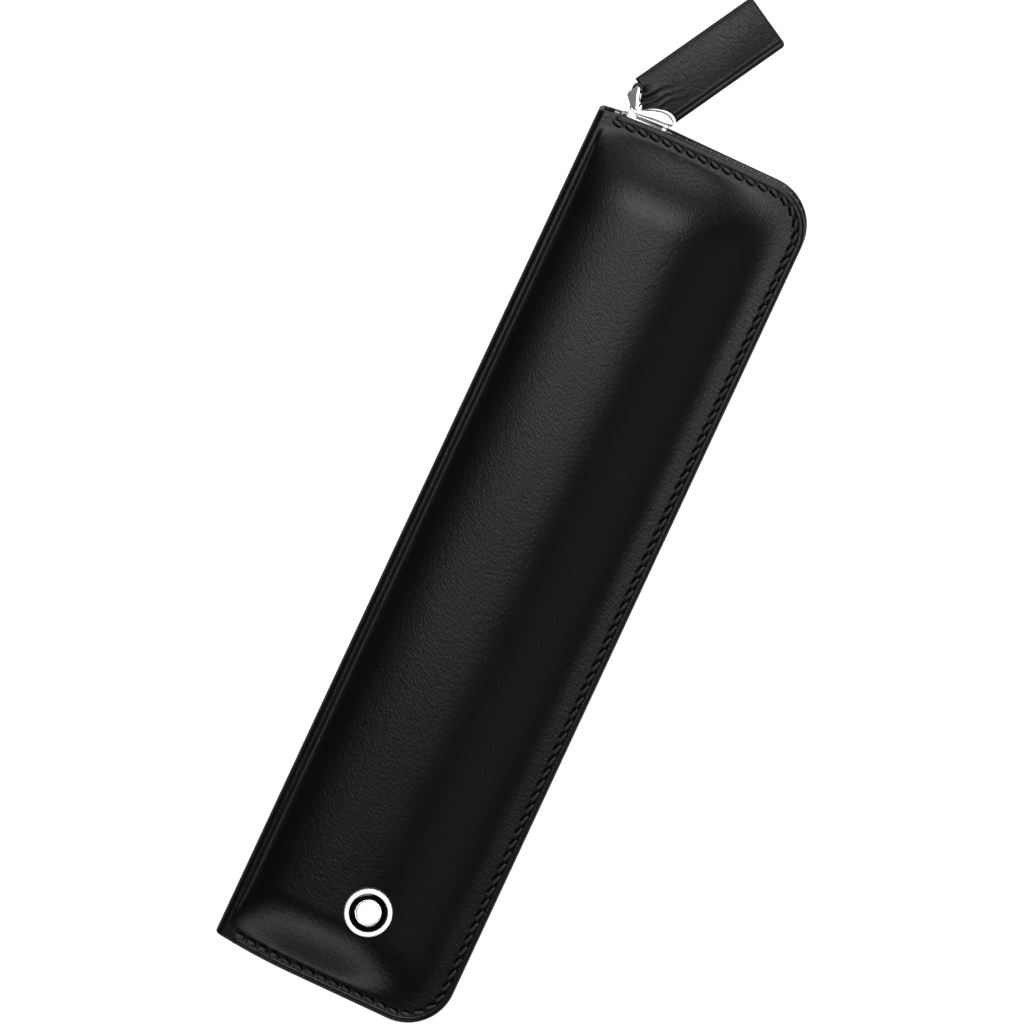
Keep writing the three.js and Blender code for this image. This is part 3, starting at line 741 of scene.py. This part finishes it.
TOOTH_STEP = 1.6
TAPE_FROM, TEETH_FROM = -18.9, -17.7
flat_path = (PATH[2][:, 2] > 0.99) & (PATH[0][:, 0] > TAPE_FROM)
zip_places = PATH[0][flat_path][::3]
zip_inward = PATH[1][flat_path][::3]
toothed = zip_places[:, 0] > TEETH_FROM
# The tape's section: inset from the outline, and height.
tape_section = [
    (1.7, 0.72), (1.77, 0.65), (2.13, 0.65), (2.2, 0.72), (2.2, 2.6), (2.35, 2.8),
    (4.35, 2.8), (4.4, 2.86), (4.4, 3.26), (4.35, 3.31), (1.9, 3.31), (1.7, 3.15),
]
for side, words in SIDES:
    lines = []
    for n, h in tape_section:
        line = zip_places + n * zip_inward
        line[:, 2] = h
        lines.append(line)
    points, faces = closed_sweep(on_half(np.stack(lines, 1), side))
    tape = body(words + "_zip_tape_weave", points, faces, tape_finish, 50)
    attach(tape, words + "_half")
    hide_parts(words + "_zip_tape")

    teeth_line = zip_places[toothed] + 1.0 * zip_inward[toothed]
    teeth_line[:, 2] = 0
    if side == -1:
        # The rear teeth start half a step further on, so that they fall between the front ones.
        teeth_line[[0, -1], 0] += TOOTH_STEP / 2
        kept = teeth_line[:, 0] > teeth_line[0, 0] + 0.1
        kept[0] = True
        teeth_line = teeth_line[kept]
    length = np.linalg.norm(np.diff(teeth_line, axis=0), axis=1).sum()
    count = int(round(length / TOOTH_STEP)) + 1
    coil = copies_along(words + "_zip_teeth", teeth_line, tooth, count, 0.0, 3, nylon, 0.0)
    coil.data.transform(Matrix.Translation((0, 0, MIDDLE * MM)) @ Matrix.Scale(side, 4, (0, 0, 1)))
    if side == -1:
        coil.data.flip_normals()
    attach(coil, words + "_half")
    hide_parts(words + "_zip_coil")
bpy.data.objects.remove(tooth)

# ---- Polished fittings: stops and slider ----
# Die-cast zinc, plated bright. The slider's two plates run inside and outside the rims and are
# joined by a post at the nose. A cap rises over the lock spring, and the bail turns in an eye
# beside it.


def metal(name, colour, roughness, scratches, metallic=0.88):
    """Plated metal with faint polishing marks."""
    material, tree, surface = principled(name, colour, roughness)
    surface["Metallic"].default_value = metallic
    marks = texture(tree, "ShaderNodeTexNoise", Scale=scratches, Detail=4)
    uneven_sheen(tree, surface, marks.outputs["Fac"], roughness * 0.75, roughness * 1.35)
    return material


silver = metal("silver", (0.88, 0.875, 0.86), 0.16, 900)
steel = metal("steel", (0.70, 0.69, 0.67), 0.28, 1400)
for name in ("front_parking_stop", "rear_parking_stop", "zip_end_stop"):
    nodes[name].data.materials.clear()
    nodes[name].data.materials.append(silver)
for name in ("badge_washer", "slider_lock_spring"):
    nodes[name].data.materials.clear()
    nodes[name].data.materials.append(steel)


def prism(outline, low, high, axis, bevel, segments=3):
    """An outline in the plane across an axis, raised from low to high, with rounded edges."""
    solid = bmesh.new()
    order = {"Y": lambda a, b, t: (a, t, b), "Z": lambda a, b, t: (a, b, t)}[axis]
    ring = [solid.verts.new(order(a, b, low)) for a, b in outline]
    face = solid.faces.new(ring)
    extruded = bmesh.ops.extrude_face_region(solid, geom=[face])
    moved = [v for v in extruded["geom"] if isinstance(v, bmesh.types.BMVert)]
    bmesh.ops.translate(solid, verts=moved, vec=Vector(order(0, 0, high - low)))
    bmesh.ops.recalc_face_normals(solid, faces=solid.faces)
    if bevel:
        sharp = [e for e in solid.edges if e.calc_face_angle(0) > math.radians(35)]
        bmesh.ops.bevel(
            solid, geom=sharp, offset=bevel, segments=segments, profile=0.5,
            affect="EDGES", clamp_overlap=True,
        )
    return solid


def joined(name, solids, turn, material, crease=38):
    """One object from several bmesh solids in millimetres, placed by a matrix in millimetres."""
    whole = bmesh.new()
    for solid in solids:
        part = bpy.data.meshes.new("part")
        solid.to_mesh(part)
        solid.free()
        whole.from_mesh(part)
        bpy.data.meshes.remove(part)
    bmesh.ops.transform(whole, matrix=Matrix.Scale(MM, 4) @ turn, verts=whole.verts)
    bmesh.ops.recalc_face_normals(whole, faces=whole.faces)
    mesh = bpy.data.meshes.new(name)
    whole.to_mesh(mesh)
    whole.free()
    mesh.shade_smooth()
    mesh.set_sharp_from_angle(angle=math.radians(crease))
    mesh.materials.append(material)
    return new_object(name, mesh)


def rounded(points, radius, steps=5):
    """A polygon with its corners rounded; radius is one number or one for each corner."""
    made = []
    count = len(points)
    for i in range(count):
        spot = Vector(points[i])
        r = radius[i] if hasattr(radius, "__len__") else radius
        before = Vector(points[i - 1]) - spot
        after = Vector(points[(i + 1) % count]) - spot
        reach = min(r, before.length * 0.49, after.length * 0.49)
        if reach < 1e-4:
            made.append(tuple(spot))
            continue
        one = spot + before.normalized() * reach
        two = spot + after.normalized() * reach
        for t in np.linspace(0, 1, steps):
            made.append(tuple((1 - t) ** 2 * one + 2 * t * (1 - t) * spot + t * t * two))
    return made


def circle(radius, sides):
    """Points of a circle about the origin."""
    turns = [2 * math.pi * k / sides for k in range(sides)]
    return [(radius * math.cos(a), radius * math.sin(a)) for a in turns]


def rod(radius, low, high, y):
    """A round bar along Z."""
    return prism([(a, y + b) for a, b in circle(radius, 28)], low, high, "Z", 0)


def tube(radius, hole, low, high, x=0.0, y=0.0, sides=36, soft=0.12):
    """A round eye along Z with a hole and softened rims."""
    lip = soft * 0.3
    profile = [
        (hole + soft, low), (radius - soft, low), (radius - lip, low + lip),
        (radius, low + soft), (radius, high - soft), (radius - lip, high - lip),
        (radius - soft, high), (hole + soft, high), (hole + lip, high - lip),
        (hole, high - soft), (hole, low + soft), (hole + lip, low + lip),
    ]
    solid = bmesh.new()
    rings = []
    for c, s in circle(1, sides):
        rings.append([solid.verts.new((x + r * c, y + r * s, z)) for r, z in profile])
    for k in range(sides):
        one, two = rings[k], rings[(k + 1) % sides]
        for j in range(len(profile)):
            m = (j + 1) % len(profile)
            solid.faces.new((one[j], two[j], two[m], one[m]))
    return solid


slider_place = Matrix.Translation((-12.6, 82.2, MIDDLE))


def plate_outline(nose, tail):
    """A slider plate's outline, half as wide at its two ends as the numbers say."""
    corners = [(-5, -nose), (4.6, -tail), (5, 0), (4.6, tail), (-5, nose)]
    return rounded(corners, [1.6, 1.8, 1.2, 1.8, 1.6], 8)


solids = [
    prism(plate_outline(2.9, 2.5), -0.6, 0.05, "Y", 0.2),
    prism(plate_outline(2.3, 2.3), -3.3, -2.5, "Y", 0.18),
    prism([(-3.8, -0.45), (-2.4, -0.45), (-2.4, 0.45), (-3.8, 0.45)], -2.6, 0.2, "Y", 0.1),
    tube(1.15, 0.62, -1.2, 1.2, -3.1, 1.8),
    prism([(-4.0, 0.0), (-2.2, 0.0), (-2.2, 1.2), (-4.0, 1.2)], -1.0, 1.0, "Z", 0.1),
    prism([(2.7, 0.0), (3.7, 0.0), (3.7, 1.7), (2.7, 1.6)], -0.9, 0.9, "Z", 0.1),
]
slider = joined("slider_body_polished", solids, slider_place, silver)
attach(slider, "slider")
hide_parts("slider_body")

cap_top = [
    (-2.85, 0.85), (-2.6, 1.45), (-1.6, 2.05), (-0.2, 2.58), (1.3, 3.08),
    (2.6, 3.14), (3.5, 2.85), (4.25, 2.3), (4.45, 1.55),
]
cap = prism(rounded(cap_top, 0.5, 4), -1.75, 1.75, "Z", 0.3, 4)
cap_place = slider_place @ Matrix.Translation((-0.15, -0.30, 0))
slider_cap = joined("slider_cap_polished", [cap], cap_place, silver)
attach(slider_cap, "slider")
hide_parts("slider_cap")

# ---- Bail ----
# A bright stirrup: a pivot bar through the slider's eye, two flat arms outside it and a crossbar
# that carries the pull tab. The arms widen towards the back.

bail_place = Matrix.Translation((-15.7, 84.0, MIDDLE)) @ Matrix.Rotation(math.radians(20), 4, "Z")
arm = rounded(
    [(0.42, -0.42), (0.42, 3.62), (-0.15, 3.80), (-1.85, 2.25), (-0.9, -0.1), (-0.42, -0.5)],
    [0.45, 0.35, 0.35, 0.3, 0.6, 0.4], 5,
)


def splayed(solid, side):
    """The arm's face turned a little towards the back."""
    for v in solid.verts:
        v.co.z += side * 0.34 * min(0.0, v.co.x - 0.1)
    return solid


solids = [
    splayed(prism(arm, 1.95, 2.5, "Z", 0.14), 1),
    splayed(prism(arm, -2.5, -1.95, "Z", 0.14), -1),
    rod(0.45, -2.2, 2.2, 0),
    rod(0.45, -2.2, 2.2, 3.2),
]
bail = joined("bail_polished", solids, bail_place, silver)
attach(bail, "bail")
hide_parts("bail")

# ---- Pull tab ----
# Two layers of the cover's leather glued face out, creased along both long edges. The strap
# narrows and wrinkles where it turns round the bail's crossbar. Each place on it is e across and
# a along.

tab_place = Matrix.Translation((-16.7945, 87.0070, MIDDLE))
tab_place = tab_place @ Matrix.Rotation(math.radians(-29.8), 4, "Z")
tab_leather = leather(
    "tab_leather", (0.0115, 0.0115, 0.0120), 0.34, (1500, 3300, 2200), 1500, 31, 0.00008
)

TAB_LENGTH = 26
TAB_CORNER = 0.8
TAB_ROUND = 0.42
LOW_EDGE = np.array([
    (-1.72, 0.62), (-0.9, 0.66), (0.2, 0.62), (0.95, 0.25), (2.0, -1.05), (2.9, -2.05),
    (3.6, -1.35), (4.58, 0.30), (6.12, 1.85), (7.31, 2.35), (8.3, 2.35), (8.92, 1.95),
])


def two_fine_ends(first, one, two, last, near, middle, far):
    """Steps from first to last, with their own counts before one, up to two, and after it."""
    parts = (
        np.linspace(first, one, near)[:-1], np.linspace(one, two, middle)[:-1],
        np.linspace(two, last, far),
    )
    return np.concatenate(parts)


across_e = two_fine_ends(-1.72, -1.3, 8.5, 8.92, 6, 66, 6)
steps_t = two_fine_ends(0, 0.06, 0.985, 1, 7, 84, 6)


def ridge(distance, width):
    """A rounded ridge of height 1 across a distance from its crest."""
    return np.exp(-((distance / width) ** 2))


def tab_relief(e, a, face):
    """Height of the strap's face over its middle, with its creases and wrinkles."""
    crease = -0.09 * ridge(e + 1.3, 0.13) - 0.12 * ridge(e - 7.95, 0.15)
    beside = 0.04 * ridge(e + 0.95, 0.25) + 0.05 * ridge(e - 7.5, 0.3)
    fade = np.exp(-np.clip(a + 1.0, 0, None) / 1.9)
    drift = 0.22 * a + 0.15 * np.sin(1.3 * a)
    folds = 0.0
    for height, place, width in (
        (0.34, 1.3, 0.42), (-0.30, 2.15, 0.30), (0.30, 2.9, 0.26),
        (-0.26, 3.5, 0.24), (0.22, 4.15, 0.3), (-0.12, 4.9, 0.4),
    ):
        folds = folds + height * ridge(e - place - drift, width)
    pocket = -0.55 * ridge(e - 0.75, 0.38) * ridge(a - 0.5, 0.75)
    bow = 0.05 * np.sin(a / 5.0 + 0.4) + 0.03 * np.sin(e / 2.1 + a / 3.0)
    creased = (crease + beside) * ease((a - 1.2) / 1.5)
    return 0.98 + creased + folds * fade * 1.5 + pocket + bow * face


def rounding(distance_to_edge):
    """0 at an edge to 1 inside it, along a quarter circle."""
    share = np.clip(distance_to_edge / TAB_ROUND, 0, 1)
    return np.sqrt(1 - (1 - share) ** 2)


def tab_skin(face):
    """The strap's front face (1) or back face (-1)."""
    grid = []
    low = np.interp(across_e, LOW_EDGE[:, 0], LOW_EDGE[:, 1])
    low = np.convolve(np.pad(low, 2, mode="edge"), np.ones(5) / 5, mode="valid")
    mid = (across_e[0] + across_e[-1]) / 2
    half = (across_e[-1] - across_e[0]) / 2
    to_side = np.minimum(across_e - across_e[0], across_e[-1] - across_e)
    for t in steps_t:
        a = low + t * (TAB_LENGTH - low)
        # The far corners are slightly rounded.
        over = np.clip(a - (TAB_LENGTH - TAB_CORNER), 0, TAB_CORNER)
        inset = TAB_CORNER - np.sqrt(np.clip(TAB_CORNER**2 - over**2, 0, None))
        e = mid + (across_e - mid) * (half - inset) / half
        to_end = np.minimum(t * (TAB_LENGTH - low), (1 - t) * (TAB_LENGTH - low))
        thick = tab_relief(e, a, face) * (0.45 + 0.55 * rounding(to_side) * rounding(to_end))
        bow = -0.011 * (e - 1) ** 2 * ease((a + 1) / 4)
        grid.append(np.stack([e, a, face * thick + bow], -1))
    return np.array(grid)


points, faces = shell(tab_skin(1), tab_skin(-1))
place4 = np.array(tab_place)
points = points @ place4[:3, :3].T + place4[:3, 3]
tab = body("pull_tab_leather", points, faces, tab_leather, 60)
eye_tube = tube(1.02, 0.5, -0.95, 0.95, sides=40, soft=0.2)
eye = joined("pull_tab_eye", [eye_tube], tab_place, tab_leather, 60)
join_into(tab, eye)
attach(tab, "pull_tab")
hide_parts("pull_tab")

# ---- Badge ----
# A turned bezel with black enamel round a plain polished stud. The stud's shank runs through the
# cover to a washer inside, which spreads its load.

badge_place = Matrix.Translation((*BADGE, 20.62)) @ Matrix.Rotation(BADGE_SLOPE, 4, "Y")


def lathe(profile, segments=96):
    """A closed body turned about Z from an outline of (radius, height) points."""
    solid = bmesh.new()
    loops = []
    for r, z in profile:
        if r < 1e-6:
            loops.append([solid.verts.new((0, 0, z))])
        else:
            loops.append([solid.verts.new((a, b, z)) for a, b in circle(r, segments)])
    pairs = list(zip(loops[:-1], loops[1:]))
    if len(loops[0]) > 1:
        pairs.append((loops[-1], loops[0]))
    for one, two in pairs:
        for k in range(segments):
            m = (k + 1) % segments
            corner = []
            for v in (one[k % len(one)], one[m % len(one)], two[m % len(two)], two[k % len(two)]):
                if v not in corner:
                    corner.append(v)
            if len(corner) > 2:
                solid.faces.new(corner)
    return solid


enamel, tree, surface = principled("enamel", (0.0025, 0.0025, 0.003), 0.10)
flow = texture(tree, "ShaderNodeTexNoise", Scale=250)
raised(tree, surface, flow.outputs["Fac"], 0.00001)
satin = metal("badge_silver", (0.93, 0.925, 0.915), 0.36, 2600, 0.6)

band = [
    (3.5, 0.0), (3.5, 0.40), (3.53, 0.50), (3.62, 0.56), (3.75, 0.60), (3.95, 0.62), (4.12, 0.60),
    (4.24, 0.54), (4.32, 0.44), (4.35, 0.30), (4.35, -0.15), (4.2, -0.45), (0.95, -0.45),
    (0.95, 0.0),
]
bezel = joined("badge_bezel_turned", [lathe(band)], badge_place, satin, 35)
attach(bezel, "front_half")
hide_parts("badge_bezel")
fill = [
    (2.35, 0.02), (3.48, 0.02), (3.48, 0.30), (3.42, 0.33),
    (3.0, 0.37), (2.6, 0.38), (2.40, 0.36), (2.35, 0.30),
]
pool = joined("badge_enamel_pool", [lathe(fill)], badge_place, enamel, 50)
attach(pool, "front_half")
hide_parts("badge_enamel")
dome = [
    (0, 0.80), (0.5, 0.795), (1.0, 0.775), (1.5, 0.735), (1.85, 0.68), (2.08, 0.60), (2.2, 0.48),
    (2.24, 0.30), (2.24, 0.1), (0.6, 0.1), (0.6, -2.02), (0.5, -2.1), (0, -2.1),
]
stud = joined("badge_stud_polished", [lathe(dome)], badge_place, satin, 40)
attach(stud, "front_half")
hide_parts("badge_stud")

# A soft light for the badge and the bail alone keeps them bright against the dark leather.
bright_fittings = bpy.data.collections.new("bright_fittings")
for piece in (bezel, stud, bail):
    bright_fittings.objects.link(piece)
fittings_light = softbox(
    "fittings_light", (0.10, -0.02, 0.50), (0.0017, -0.0662, 0.02), 0.45, 0.45, 4
)
fittings_light.light_linking.receiver_collection = bright_fittings
